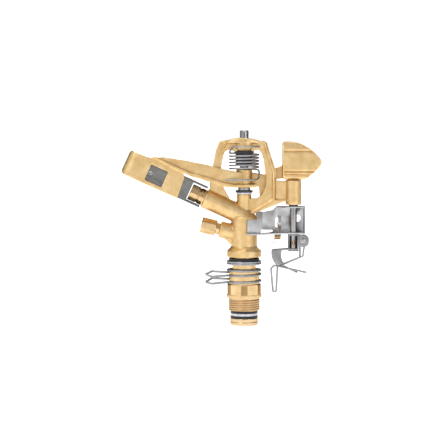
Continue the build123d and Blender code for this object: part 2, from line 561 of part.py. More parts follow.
# ---------------------------------------------------------------- trip lever below the bracket
LEVER_TOP, LEVER_BOTTOM = 52.9, 39.7
with BuildPart() as trip_lever:
    upright_plate([(37.7, LEVER_BOTTOM), (45.3, LEVER_BOTTOM), (45.3, LEVER_TOP), (37.7, LEVER_TOP)],
                  4.0, 4.0 + SHEET)
    for flange_x in (SHAFT_X - SHAFT_R - 0.4 - SHEET, SHAFT_X + SHAFT_R + 0.2):
        upright_plate([(flange_x, LEVER_BOTTOM), (flange_x + SHEET, LEVER_BOTTOM),
                       (flange_x + SHEET, LEVER_TOP), (flange_x, LEVER_TOP)], -4.6, 4.0 + SHEET)
    for tab_z in (LEVER_BOTTOM, LEVER_TOP - SHEET):
        with BuildSketch(Plane.XY.offset(tab_z)) as tab:
            with Locations((SHAFT_X - 0.1, 0.3)):
                Rectangle(8.8, 9.8)
        extrude(tab.sketch, amount=SHEET)
    # ear that carries the finger's rivet
    with BuildSketch(Plane.XZ.offset(4.6)) as ear:
        with Locations((RIVET[0] + 0.3, RIVET[1])):
            RectangleRounded(9.6, 10.6, 4.4)
        with Locations((46.0, RIVET[1])):
            Rectangle(3.2, 10.6)
    extrude(ear.sketch, amount=SHEET)
    # flag: a strip from the foot, turned down in front of the finger
    with BuildSketch(Plane.XY.offset(LEVER_BOTTOM)) as strip:
        with BuildLine():
            Polyline((23.4, -8.8), (32.0, -8.8), (38.5, -4.6), (38.5, 4.4), (34.0, 2.0),
                     (24.4, -4.8), close=True)
        make_face()
    extrude(strip.sketch, amount=SHEET)
    with BuildSketch(Plane.XZ.offset(7.6)) as flag:
        with BuildLine():
            near_edge = ThreePointArc((23.0, 40.9), (23.0, 34.4), (27.2, 27.2))
            far_edge = ThreePointArc((32.0, 40.9), (30.9, 35.2), (33.6, 28.6))
            Line(near_edge @ 0, far_edge @ 0)
            Line(near_edge @ 1, far_edge @ 1)
        make_face()
    extrude(flag.sketch, amount=SHEET)
    with Locations((SHAFT_X, 0, LEVER_BOTTOM - 1)):
        Cylinder(SHAFT_R + FIT, 20, mode=Mode.SUBTRACT, align=(Align.CENTER, Align.CENTER, Align.MIN))
    with BuildSketch(Plane.XZ.offset(7)) as pivot_hole:
        with Locations(RIVET):
            Circle(1.52)
    extrude(pivot_hole.sketch, amount=-6, mode=Mode.SUBTRACT)
save(trip_lever.part, "trip_lever")

with BuildPart() as finger_rivet:
    with BuildSketch(Plane.XZ.offset(6.6)):
        with Locations(RIVET):
            Circle(2.3)
    extrude(amount=-0.75)
    with BuildSketch(Plane.XZ.offset(6.0)):
        with Locations(RIVET):
            Circle(1.5)
    extrude(amount=-6.2)
    with BuildSketch(Plane.XZ):
        with Locations(RIVET):
            Circle(2.9)
    extrude(amount=-0.7)
save(finger_rivet.part, "finger_rivet")

finger_coil = coil(1.05, 0.3, 0.9, 44.0, 4)
with BuildPart() as finger_spring:
    add(finger_coil.translate((41.3, -4.6, 0)))
    for leg_z, leg_side in ((44.0, 1), (47.6, -1)):
        with Locations((42.35, -4.6, leg_z)):
            Sphere(0.31)
        with BuildSketch(Plane(origin=(42.35, -4.6, leg_z), z_dir=(-0.5, 0, -leg_side))) as spring_leg:
            Circle(0.3)
        extrude(spring_leg.sketch, amount=2.6)
save(finger_spring.part, "finger_spring")

# ---------------------------------------------------------------- trip finger, one bent wire
FRONT_Y, BACK_Y, HANDLE_Y = -3.7, -1.15, -5.9
WRAP_R = 2.35                   # the wire's wrap round the rivet
front_strand = bent_wire([(RIVET[0] + WRAP_R, FRONT_Y, RIVET[1]), (49.8, FRONT_Y, 39.2),
                          (49.3, FRONT_Y, 34.6), (28.0, FRONT_Y, 25.6), (26.9, FRONT_Y, 4.7),
                          (24.2, FRONT_Y, 4.7), (22.5, FRONT_Y, 24.2), (25.4, HANDLE_Y, 27.0),
                          (52.2, HANDLE_Y, 21.0)], WIRE_R, [3, 2, 1.6, 1.2, 1.2, 1.2, 1.2])
back_strand = bent_wire([(RIVET[0] - WRAP_R, BACK_Y, RIVET[1]), (46.9, BACK_Y, 37.4),
                         (46.7, BACK_Y, 33.4), (31.0, BACK_Y, 26.9), (44.6, BACK_Y, 20.6)],
                        WIRE_R, [3, 2, 0.85])
wrap = coil(WRAP_R, WIRE_R, (FRONT_Y - BACK_Y) / -1.5, 0, 1.5).rotate(Axis.X, 90)
with BuildPart() as trip_finger:
    add(front_strand)
    add(back_strand)
    add(wrap.rotate(Axis.Y, 180).translate((RIVET[0], BACK_Y, RIVET[1])))
    with Locations((RIVET[0] + WRAP_R, FRONT_Y, RIVET[1]), (RIVET[0] - WRAP_R, BACK_Y, RIVET[1])):
        Sphere(WIRE_R * 1.06)
save(trip_finger.part, "trip_finger")
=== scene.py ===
import json
from math import acos, cos, degrees, exp, pi, radians, sin, sqrt

import bmesh
import bpy
from mathutils import Matrix, Vector


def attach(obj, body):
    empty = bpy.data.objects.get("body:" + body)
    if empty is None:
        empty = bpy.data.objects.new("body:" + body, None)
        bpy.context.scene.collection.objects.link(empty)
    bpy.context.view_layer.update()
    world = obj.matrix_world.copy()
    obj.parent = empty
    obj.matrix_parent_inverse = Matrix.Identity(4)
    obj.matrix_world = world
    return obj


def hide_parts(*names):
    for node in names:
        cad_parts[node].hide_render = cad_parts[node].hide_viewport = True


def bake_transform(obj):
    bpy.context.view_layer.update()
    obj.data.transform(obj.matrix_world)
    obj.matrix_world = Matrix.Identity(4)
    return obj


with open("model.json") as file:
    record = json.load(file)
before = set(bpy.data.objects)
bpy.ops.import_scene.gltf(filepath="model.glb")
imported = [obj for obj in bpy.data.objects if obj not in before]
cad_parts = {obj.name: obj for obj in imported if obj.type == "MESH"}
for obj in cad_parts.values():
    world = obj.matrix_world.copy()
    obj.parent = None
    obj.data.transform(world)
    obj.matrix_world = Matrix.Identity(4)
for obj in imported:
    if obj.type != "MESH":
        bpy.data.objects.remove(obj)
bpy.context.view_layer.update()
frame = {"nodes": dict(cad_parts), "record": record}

# Part-circle impact sprinkler. Sizes are in millimetres and become metres when a mesh is made.
MM = 0.001
NODES = frame["nodes"]
BODIES = frame["record"]["behaviour"]["bodies"]
BODY_OF = {node: body for body, members in BODIES.items() for node in members}

# ---------------------------------------------------------------- driving sizes
THREAD_R, THREAD_PITCH, THREAD_DEPTH, THREAD_L = 13.22, 25.4 / 14, 1.16, 11.3
SHOULDER_R, SHOULDER_H = 14.7, 2.1
HEX_AF, HEX_TOP, HEX_BAR_R = 28.0, 10.9, 14.9
NECK_R, NECK_TOP, SLEEVE_R, SLEEVE_TOP, BEARING_R = 12.7, 23.2, 9.85, 27.5, 8.6
TUBE_R, TUBE_BORE_R, TUBE_BOTTOM, TUBE_TOP = 8.53, 6.2, -23.3, 52.0
COLLAR_R, COLLAR_TOP = 11.5, -17.8
BARREL_ROOT, BARREL_RISE, BARREL_L, BARREL_BORE_R = 68.0, 24.6, 36.3, 6.2
SPREADER_ROOT, SPREADER_RISE, SPREADER_L = 52.1, 13.7, 21.0
PIN_R, PIN_TOP, PIN_BOTTOM = 3.65, 139.7, 72.0
HUB_BOTTOM, HUB_TOP, BUSH_R = 92.4, 107.2, 4.9
SHAFT_X, SHAFT_R, SHAFT_TOP, SHAFT_BOTTOM = 41.3, 2.9, 90.0, 38.6
FIT, SNUG = 0.06, 0.02
RIVET_X, RIVET_Z = 49.1, 47.6
RISE_COS, RISE_SIN = cos(radians(BARREL_RISE)), sin(radians(BARREL_RISE))


def jet_point(along, above, y=0.0):
    """A place given along the barrel's axis and square to it."""
    return Vector((-along * RISE_COS + above * RISE_SIN, y,
                   BARREL_ROOT + along * RISE_SIN + above * RISE_COS))


# ---------------------------------------------------------------- finishes
def new_finish(name):
    """A new material, with its tree, its shader and the place on the piece that patterns follow."""
    finish = bpy.data.materials.new(name)
    finish.use_nodes = True
    tree = finish.node_tree
    shader = tree.nodes["Principled BSDF"]
    place = tree.nodes.new("ShaderNodeTexCoord")
    return finish, tree, shader, place.outputs["Object"]


def speckle(tree, where, scale, detail=4.0, stretch=None):
    """A noise pattern, with stretch giving its scale along X, Y and Z."""
    noise = tree.nodes.new("ShaderNodeTexNoise")
    noise.inputs["Scale"].default_value = scale
    noise.inputs["Detail"].default_value = detail
    if stretch:
        mapping = tree.nodes.new("ShaderNodeMapping")
        mapping.inputs["Scale"].default_value = stretch
        tree.links.new(where, mapping.inputs["Vector"])
        where = mapping.outputs["Vector"]
    tree.links.new(where, noise.inputs["Vector"])
    return noise.outputs["Fac"]


def ramp(tree, value, stops):
    """Colours picked along a value, as (place, colour) stops."""
    colours = tree.nodes.new("ShaderNodeValToRGB")
    line = colours.color_ramp
    line.elements[0].position, line.elements[0].color = stops[0][0], (*stops[0][1], 1)
    line.elements[1].position, line.elements[1].color = stops[-1][0], (*stops[-1][1], 1)
    for place, colour in stops[1:-1]:
        line.elements.new(place).color = (*colour, 1)
    tree.links.new(value, colours.inputs["Fac"])
    return colours.outputs["Color"]


def spread(tree, value, low, high, bottom, top):
    """Stretches a value from one range to another."""
    node = tree.nodes.new("ShaderNodeMapRange")
    for name, number in (("From Min", low), ("From Max", high), ("To Min", bottom), ("To Max", top)):
        node.inputs[name].default_value = number
    tree.links.new(value, node.inputs["Value"])
    return node.outputs["Result"]


def blend(tree, how, share, first, second):
    """Two colours mixed by a named method."""
    node = tree.nodes.new("ShaderNodeMix")
    node.data_type = "RGBA"
    node.blend_type = how
    node.inputs["Factor"].default_value = share
    tree.links.new(first, node.inputs["A"])
    tree.links.new(second, node.inputs["B"])
    return node.outputs["Result"]


def bumps(tree, shader, layers):
    """Stacks bump layers given as (height, strength, depth in millimetres)."""
    normal = None
    for height, strength, depth in layers:
        node = tree.nodes.new("ShaderNodeBump")
        node.inputs["Strength"].default_value = strength
        node.inputs["Distance"].default_value = depth * MM
        tree.links.new(height, node.inputs["Height"])
        if normal:
            tree.links.new(normal, node.inputs["Normal"])
        normal = node.outputs["Normal"]
    tree.links.new(normal, shader.inputs["Normal"])


def cast_brass():
    """Sand-cast brass, blasted: mottled, grainy, browner in the corners from painted shade, bright on the
    edges from wear and a painted highlight.
    """
    finish, tree, shader, where = new_finish("sand_cast_brass")
    cloud = ramp(tree, speckle(tree, where, 130.0, 5.0),
                 [(0.3, (0.72, 0.49, 0.22)), (0.5, (0.82, 0.58, 0.29)), (0.72, (0.91, 0.69, 0.38))])
    grain = ramp(tree, speckle(tree, where, 1500.0, 3.0), [(0.3, (0.86, 0.84, 0.80)), (0.7, (1.0, 1.0, 1.0))])
    shape = tree.nodes.new("ShaderNodeNewGeometry")
    # painted shade darkens the hollows by pointiness, and wear with a painted highlight brightens the edges
    edges = ramp(tree, shape.outputs["Pointiness"],
                 [(0.42, (0.42, 0.31, 0.20)), (0.475, (0.80, 0.75, 0.66)), (0.50, (0.97, 0.97, 0.96)),
                  (0.56, (1.16, 1.15, 1.12))])
    colour = blend(tree, "MULTIPLY", 0.85, cloud, grain)
    colour = blend(tree, "MULTIPLY", 0.9, colour, edges)
    tree.links.new(colour, shader.inputs["Base Color"])
    shader.inputs["Metallic"].default_value = 1.0
    shader.inputs["Specular Tint"].default_value = (0.62, 0.52, 0.38, 1)
    rough = spread(tree, speckle(tree, where, 420.0, 3.0), 0.3, 0.7, 0.36, 0.52)
    tree.links.new(rough, shader.inputs["Roughness"])
    bumps(tree, shader, [(speckle(tree, where, 900.0, 5.0), 0.55, 0.16),
                         (speckle(tree, where, 260.0, 2.0), 0.35, 0.35)])
    return finish


def hex_corner_shade_and_thread_tone(tree, where, colour):
    """Painted shade on the round band left between the hexagon's flats, and a paler cut on the thread."""
    place = tree.nodes.new("ShaderNodeSeparateXYZ")
    tree.links.new(where, place.inputs["Vector"])
    across = tree.nodes.new("ShaderNodeVectorMath")
    across.operation = "MULTIPLY"
    across.inputs[1].default_value = (1.0, 1.0, 0.0)
    tree.links.new(where, across.inputs[0])
    radius = tree.nodes.new("ShaderNodeVectorMath")
    radius.operation = "LENGTH"
    tree.links.new(across.outputs["Vector"], radius.inputs[0])
    # a mask on the round band between the hexagon's flats, where painted shade darkens the colour
    skin = spread(tree, radius.outputs["Value"], (HEX_BAR_R - 0.10) * MM, (HEX_BAR_R - 0.03) * MM, 0.0, 1.0)
    above = spread(tree, place.outputs["Z"], (SHOULDER_H + 0.1) * MM, (SHOULDER_H + 0.3) * MM, 0.0, 1.0)
    corner = tree.nodes.new("ShaderNodeMath")
    corner.operation = "MULTIPLY"
    tree.links.new(skin, corner.inputs[0])
    tree.links.new(above, corner.inputs[1])
    dull = ramp(tree, corner.outputs["Value"], [(0.0, (1.0, 1.0, 1.0)), (1.0, (0.50, 0.44, 0.36))])
    colour = blend(tree, "MULTIPLY", 1.0, colour, dull)
    thread = spread(tree, place.outputs["Z"], -0.6 * MM, -0.1 * MM, 1.0, 0.0)
    mix = tree.nodes.new("ShaderNodeMix")
    mix.data_type = "RGBA"
    tree.links.new(thread, mix.inputs["Factor"])
    tree.links.new(colour, mix.inputs["A"])
    mix.inputs["B"].default_value = (0.74, 0.55, 0.32, 1)
    return mix.outputs["Result"]


def turned_brass(name, along, inlet=False):
    """Machined brass: fine rings square to the axis it was turned on."""
    finish, tree, shader, where = new_finish(name)
    turning = tree.nodes.new("ShaderNodeMapping")
    turning.inputs["Rotation"].default_value = along
    tree.links.new(where, turning.inputs["Vector"])
    lines = speckle(tree, turning.outputs["Vector"], 1.0, 2.0, (25.0, 25.0, 2400.0))
    stain = ramp(tree, speckle(tree, where, 160.0, 4.0),
                 [(0.3, (0.67, 0.46, 0.23)), (0.55, (0.76, 0.54, 0.29)), (0.75, (0.84, 0.62, 0.37))])
    streak = ramp(tree, lines, [(0.35, (0.88, 0.86, 0.82)), (0.65, (1.0, 1.0, 1.0))])
    colour = blend(tree, "MULTIPLY", 0.8, stain, streak)
    if inlet:
        colour = hex_corner_shade_and_thread_tone(tree, where, colour)
    tree.links.new(colour, shader.inputs["Base Color"])
    shader.inputs["Metallic"].default_value = 1.0
    shader.inputs["Specular Tint"].default_value = (0.60, 0.50, 0.36, 1)
    tree.links.new(spread(tree, lines, 0.3, 0.7, 0.17, 0.30), shader.inputs["Roughness"])
    bumps(tree, shader, [(lines, 0.25, 0.02), (speckle(tree, where, 500.0, 2.0), 0.12, 0.04)])
    return finish


def steel(name, tone, rough, grain_scale, grain):
    """Bare steel with drawn or rolled marks."""
    finish, tree, shader, where = new_finish(name)
    marks = speckle(tree, where, 1.0, 3.0, grain_scale)
    dull = ramp(tree, speckle(tree, where, 240.0, 4.0),
                [(0.3, tuple(0.86 * c for c in tone)), (0.55, tone), (0.75, tuple(1.12 * c for c in tone))])
    scratch = ramp(tree, marks, [(0.3, (0.84, 0.84, 0.85)), (0.7, (1.0, 1.0, 1.0))])
    tree.links.new(blend(tree, "MULTIPLY", 0.8, dull, scratch), shader.inputs["Base Color"])
    shader.inputs["Metallic"].default_value = 1.0
    shader.inputs["Specular Tint"].default_value = (0.32, 0.32, 0.33, 1)
    tree.links.new(spread(tree, marks, 0.3, 0.7, rough - 0.07, rough + 0.08), shader.inputs["Roughness"])
    bumps(tree, shader, [(marks, grain, 0.03), (speckle(tree, where, 600.0, 3.0), 0.12, 0.05)])
    return finish


def moulded(name, tone, rough, sheen=0.0):
    """Rubber or plastic with a faint moulded grain and dust in its pores."""
    finish, tree, shader, where = new_finish(name)
    pale = tuple(min(1.0, c * 1.5 + 0.008) for c in tone)
    patch = ramp(tree, speckle(tree, where, 420.0, 5.0), [(0.35, tone), (0.75, pale)])
    tree.links.new(patch, shader.inputs["Base Color"])
    tree.links.new(spread(tree, speckle(tree, where, 800.0, 2.0), 0.3, 0.7, rough - 0.06, rough + 0.1),
                   shader.inputs["Roughness"])
    if sheen:
        shader.inputs["Sheen Weight"].default_value = sheen
    bumps(tree, shader, [(speckle(tree, where, 2200.0, 3.0), 0.3, 0.03)])
    return finish


CAST = cast_brass()
TURNED = turned_brass("turned_brass_inlet", (0, 0, 0), inlet=True)
TURNED_JET = turned_brass("turned_brass_nozzle", (0, radians(90 - BARREL_RISE), 0))
TURNED_SIDE = turned_brass("turned_brass_spreader", (0, radians(90 - SPREADER_RISE), 0))
SHEET_STEEL = steel("pressed_stainless_sheet", (0.33, 0.33, 0.34), 0.34, (260.0, 900.0, 2600.0), 0.3)
# a lighter copy of the pressed stainless sheet: its raised tone is painted light on the trip bracket
LIT_STAINLESS_SHEET = steel("painted_lit_stainless_sheet", (0.58, 0.58, 0.59), 0.33, (260.0, 900.0, 2600.0), 0.25)
# a darker copy for the spoon channel: the dark tone is painted shade from its recess behind the brass plate,
# the rough even grain a duller finish
SHADED_CHANNEL_SHEET = steel("dull_shaded_channel_sheet", (0.24, 0.24, 0.235), 0.42, (500.0, 500.0, 500.0), 0.5)
WIRE_STEEL = steel("drawn_stainless_wire", (0.42, 0.42, 0.43), 0.44, (700.0, 700.0, 700.0), 0.15)
BAR_STEEL = steel("ground_steel_bar", (0.44, 0.44, 0.46), 0.20, (900.0, 900.0, 120.0), 0.2)
WASHER_STEEL = steel("stamped_steel_washer", (0.42, 0.43, 0.45), 0.28, (420.0, 420.0, 1500.0), 0.25)
BRASS_WIRE = turned_brass("drawn_brass_wire", (0, 0, 0))
RUBBER = moulded("black_seal_rubber", (0.008, 0.008, 0.009), 0.46)
PALE_PLASTIC = moulded("pale_bearing_plastic", (0.52, 0.52, 0.58), 0.38)
DARK_PLASTIC = moulded("dark_bearing_plastic", (0.030, 0.030, 0.034), 0.36)


# ---------------------------------------------------------------- making and fitting pieces
# points nearer than this are joined, in metres: in a mesh made here, and in a CAD mesh
SAME_POINT, CAD_SEAM = 1e-7, 2e-6
# degrees: hexagons, wires and sheet are shaded smooth below these, and sheet edges broken above one
HEX_SMOOTH, INLET_SMOOTH, WIRE_SMOOTH, SHEET_SMOOTH, SHEET_BREAK = 14.0, 9.0, 60, 38, 40


def stand_in(piece, node, finish):
    """Gives a piece its finish and puts it in place of its CAD node."""
    piece.data.materials.clear()
    piece.data.materials.append(finish)
    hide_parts(node)


def fit(piece, node, finish):
    """Puts a finished piece in place of its CAD node, on the same body."""
    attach(piece, BODY_OF[node])
    stand_in(piece, node, finish)


def placed(name, data):
    """A new object in the scene, at the origin."""
    thing = bpy.data.objects.new(name, data)
    bpy.context.collection.objects.link(thing)
    return thing


def weld(mesh, gap, outward=True):
    """Joins a mesh's doubled points and, if asked, turns its faces outwards."""
    work = bmesh.new()
    work.from_mesh(mesh)
    bmesh.ops.remove_doubles(work, verts=work.verts, dist=gap)
    if outward:
        bmesh.ops.recalc_face_normals(work, faces=work.faces)
    work.to_mesh(mesh)
    work.free()


def shade(mesh, smooth_below):
    """Smooth shading, except over edges sharper than an angle in degrees."""
    mesh.shade_smooth()
    mesh.set_sharp_from_angle(angle=radians(smooth_below))


def mesh_piece(name, points, faces, smooth_below=32.0):
    """A closed mesh from millimetre points, shaded smooth except over sharp edges."""
    mesh = bpy.data.meshes.new(name)
    mesh.from_pydata([tuple(MM * c for c in p) for p in points], [], faces)
    weld(mesh, SAME_POINT)
    shade(mesh, smooth_below)
    return placed(name, mesh)


def hardened(piece, name):
    """The piece with its modifiers worked in, as a plain mesh object at the origin."""
    seen = piece.evaluated_get(bpy.context.evaluated_depsgraph_get())
    mesh = bpy.data.meshes.new_from_object(seen)
    mesh.name = name
    bpy.data.objects.remove(piece)
    return placed(name, mesh)


def rounded(outline, radius, steps=4):
    """A closed outline with its corners rounded; corners on the axis stay sharp."""
    result = []
    count = len(outline)
    for i, corner in enumerate(outline):
        here, before, after = (Vector(outline[j % count]) for j in (i, i - 1, i + 1))
        if corner[0] < 1e-6:
            result.append(tuple(here))
            continue
        inward, onward = before - here, after - here
        reach = min(radius, 0.45 * inward.length, 0.45 * onward.length)
        start, end = here + inward.normalized() * reach, here + onward.normalized() * reach
        for step in range(steps + 1):
            t = step / steps
            result.append(tuple(start * (1 - t) ** 2 + here * 2 * t * (1 - t) + end * t ** 2))
    return result


def upright(x=0.0):
    """Stands a turned shape on the vertical axis at x."""
    return Matrix.Translation((x, 0, 0))


def facing(origin, direction):
    """Stands a turned shape's axis along a direction."""
    return Matrix.Translation(origin) @ Vector(direction).to_track_quat("Z", "Y").to_matrix().to_4x4()


def swept_rows(name, rows, place, smooth_below=32.0):
    """Joins rings of points into one closed skin; a ring of one point is a pole."""
    points, starts = [], []
    for row in rows:
        starts.append(len(points))
        points += [tuple(place @ Vector(p)) for p in row]
    faces = []
    for i, row in enumerate(rows):
        j = (i + 1) % len(rows)
        low, high, a, b = len(row), len(rows[j]), starts[i], starts[j]
        if low == 1 and high == 1:
            continue
        for k in range(max(low, high)):
            n = (k + 1) % max(low, high)
            if low == 1:
                faces.append((a, b + k, b + n))
            elif high == 1:
                faces.append((a + k, a + n, b))
            else:
                faces.append((a + k, a + n, b + n, b + k))
    return mesh_piece(name, points, faces, smooth_below)


def turned_piece(name, outline, edge=0.2, place=Matrix(), segments=96):
    """A lathe-turned piece from a closed (radius, height) outline with broken edges."""
    rows = []
    for radius, height in rounded(outline, edge):
        if radius < 1e-6:
            rows.append([(0, 0, height)])
        else:
            rows.append([(radius * cos(2 * pi * k / segments), radius * sin(2 * pi * k / segments), height)
                         for k in range(segments)])
    return swept_rows(name, rows, place)


def flat_angles(across, bar_r, first_flat):
    """Angles that catch each flat's edges on a bar turned to bar_r."""
    half = degrees(acos(across / 2 / bar_r))
    angles = []
    for side in range(6):
        middle = first_flat + 60 * side
        angles += [middle - half + 2 * half * k / 12 for k in range(13)]
        angles += [middle + half + (60 - 2 * half) * k / 5 for k in range(1, 5)]
    return [radians(a) for a in angles]


def flat_limit(angle, across, first_flat):
    """How far out a hexagon's side lies at an angle."""
    turn = (degrees(angle) - first_flat + 30) % 60 - 30
    return across / 2 / cos(radians(turn))


def milled_rows(outline, angles, across, first_flat):
    """Rings from (radius, height, milled) rows, the milled ones cut back to a hexagon."""
    rows = []
    for radius, height, milled in outline:
        row = []
        for angle in angles:
            r = min(radius, flat_limit(angle, across, first_flat)) if milled else radius
            row.append((r * cos(angle), r * sin(angle), height))
        rows.append(row)
    return rows


def hex_turned(name, outline, across, bar_r, first_flat, place=Matrix()):
    """A turned piece whose marked rows are milled to a hexagon: (radius, height, milled)."""
    rows = milled_rows(outline, flat_angles(across, bar_r, first_flat), across, first_flat)
    return swept_rows(name, rows, place, HEX_SMOOTH)


def merged_copy(node, name):
    """A copy of a CAD node's mesh with its loose triangles joined."""
    mesh = NODES[node].data.copy()
    mesh.materials.clear()
    weld(mesh, CAD_SEAM, outward=False)
    if "custom_normal" in mesh.attributes:
        mesh.attributes.remove(mesh.attributes["custom_normal"])
    return placed(name, mesh)


def cast_skin(node, name, grid, passes, keep):
    """A casting's rounded skin: fine even mesh, corners filleted by smoothing."""
    piece = merged_copy(node, name)
    skin = piece.modifiers.new("skin", "REMESH")
    skin.mode, skin.voxel_size, skin.use_smooth_shade = "VOXEL", grid * MM, True
    fillet = piece.modifiers.new("fillet", "SMOOTH")
    fillet.factor, fillet.iterations = 0.5, passes
    thin = piece.modifiers.new("thin", "DECIMATE")
    thin.ratio = keep
    solid = hardened(piece, name)
    solid.data.shade_smooth()
    return solid


def pressed_sheet(node, name, edge=0.24):
    """Pressed sheet with the sheared edges broken."""
    piece = merged_copy(node, name)
    work = bmesh.new()
    work.from_mesh(piece.data)
    bmesh.ops.dissolve_limit(work, angle_limit=radians(1.0), verts=work.verts, edges=work.edges)
    work.to_mesh(piece.data)
    work.free()
    bevel = piece.modifiers.new("edge", "BEVEL")
    bevel.width, bevel.segments, bevel.limit_method = edge * MM, 3, "ANGLE"
    bevel.angle_limit = radians(SHEET_BREAK)
    solid = hardened(piece, name)
    shade(solid.data, SHEET_SMOOTH)
    return solid


# ---------------------------------------------------------------- wire, laid by Geometry Nodes
BEND_STEPS, TIGHT_BEND = 7, 1.2


def wire_tree():
    """Takes a path, rounds its bends if asked, and lays a round wire along it."""
    tree = bpy.data.node_groups.new("bent_wire", "GeometryNodeTree")
    face = tree.interface
    face.new_socket("Path", in_out="INPUT", socket_type="NodeSocketGeometry")
    for label, kind in (("Wire radius", "NodeSocketFloat"), ("Bend radius", "NodeSocketFloat"),
                        ("Round the bends", "NodeSocketBool"), ("Sides", "NodeSocketInt"),
                        ("Finish", "NodeSocketMaterial")):
        face.new_socket(label, in_out="INPUT", socket_type=kind)
    face.new_socket("Wire", in_out="OUTPUT", socket_type="NodeSocketGeometry")
    new, link = tree.nodes.new, tree.links.new
    given, result = new("NodeGroupInput"), new("NodeGroupOutput")
    bend = new("GeometryNodeFilletCurve")
    bend.mode = "POLY"
    bend.inputs["Count"].default_value = BEND_STEPS
    bend.inputs["Limit Radius"].default_value = True
    choose = new("GeometryNodeSwitch")
    choose.input_type = "GEOMETRY"
    section, lay = new("GeometryNodeCurvePrimitiveCircle"), new("GeometryNodeCurveToMesh")
    lay.inputs["Fill Caps"].default_value = True
    real, paint = new("GeometryNodeRealizeInstances"), new("GeometryNodeSetMaterial")
    link(given.outputs["Path"], bend.inputs["Curve"])
    link(given.outputs["Bend radius"], bend.inputs["Radius"])
    link(given.outputs["Round the bends"], choose.inputs["Switch"])
    link(given.outputs["Path"], choose.inputs["False"])
    link(bend.outputs["Curve"], choose.inputs["True"])
    link(given.outputs["Sides"], section.inputs["Resolution"])
    link(given.outputs["Wire radius"], section.inputs["Radius"])
    link(choose.outputs["Output"], lay.inputs["Curve"])
    link(section.outputs["Curve"], lay.inputs["Profile Curve"])
    link(lay.outputs["Mesh"], real.inputs["Geometry"])
    link(real.outputs["Geometry"], paint.inputs["Geometry"])
    link(given.outputs["Finish"], paint.inputs["Material"])
    link(paint.outputs["Geometry"], result.inputs["Wire"])
    return tree


WIRE_TREE = wire_tree()


def laid_wire(name, points, wire_r, finish, bend=None, sides=16):
    """A wire along millimetre points: bends rounded to a radius, or one smooth curve."""
    path = bpy.data.curves.new(name, "CURVE")
    path.dimensions = "3D"
    line = path.splines.new("POLY" if bend else "NURBS")
    line.points.add(len(points) - 1)
    for spot, point in zip(line.points, points):
        spot.co = (*(MM * c for c in point), 1)
    if not bend:
        line.order_u, line.use_endpoint_u = 4, True
        path.resolution_u = 3
    laid = placed(name, path)
    modifier = laid.modifiers.new("wire", "NODES")
    modifier.node_group = WIRE_TREE
    sizes = {"Wire radius": wire_r * MM, "Bend radius": (bend or 0.0) * MM,
             "Round the bends": bool(bend), "Sides": sides, "Finish": finish}
    for socket in WIRE_TREE.interface.items_tree:
        if socket.name in sizes:
            modifier[socket.identifier] = sizes[socket.name]
    solid = hardened(laid, name)
    weld(solid.data, SAME_POINT)
    shade(solid.data, WIRE_SMOOTH)
    return solid


def turns(radius, pitch, bottom, count, start=0.0, centre=(0.0, 0.0), steps=24):
    """Points along a rising coil about an upright axis."""
    total = int(steps * count)
    points = []
    for k in range(total + 1):
        angle = radians(start) + 2 * pi * count * k / total
        points.append((centre[0] + radius * cos(angle), centre[1] + radius * sin(angle),
                       bottom + pitch * count * k / total))
    return points


# ---------------------------------------------------------------- camera, light and floor
# in metres, with the lens in millimetres
VIEW_LENS, VIEW_DISTANCE, VIEW_RISE = 143.6, 1.5, radians(4.0)
VIEW_AIM, MIDDLE = Vector((-0.0169, 0, 0.0613)), Vector((-0.01, 0, 0.06))
FLOOR_HALF, FLOOR_GAP = 6.0, 0.0004


